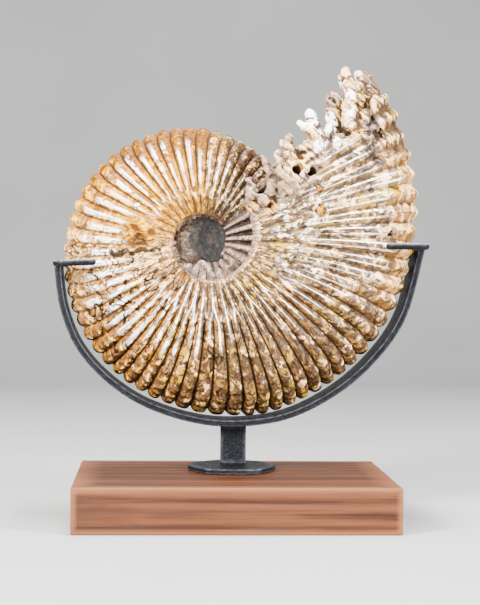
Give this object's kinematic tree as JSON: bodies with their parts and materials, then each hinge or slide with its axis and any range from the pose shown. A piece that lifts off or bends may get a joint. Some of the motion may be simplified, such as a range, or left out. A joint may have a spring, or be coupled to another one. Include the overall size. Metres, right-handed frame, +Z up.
{
  "type": "fossil ammonite on display stand",
  "caption": "Large ribbed fossil ammonite shell with a torn frilled end, resting in a bent iron cradle on a post, plate and wooden block.",
  "frame": {"origin": "middle of the wooden block's underside", "axes": "+Z up; -Y is the front, from which the coil opens upward on the right; +X to the right seen from the front"},
  "size_m": [0.3116, 0.1829, 0.3809],
  "materials": {
    "fossil_shell": "polished tan, amber and cream shell with grey-brown speckle",
    "wood": "satin brown stained timber with straight grain",
    "blackened_iron": "speckled black with worn bright edges"
  },
  "bodies": {
    "root": {"ammonite": "fossil_shell", "cradle_strap": "blackened_iron", "fork_left": "blackened_iron", "fork_right": "blackened_iron", "post": "blackened_iron", "foot_plate": "blackened_iron", "wood_base": "wood"}
  },
  "joints": []
}
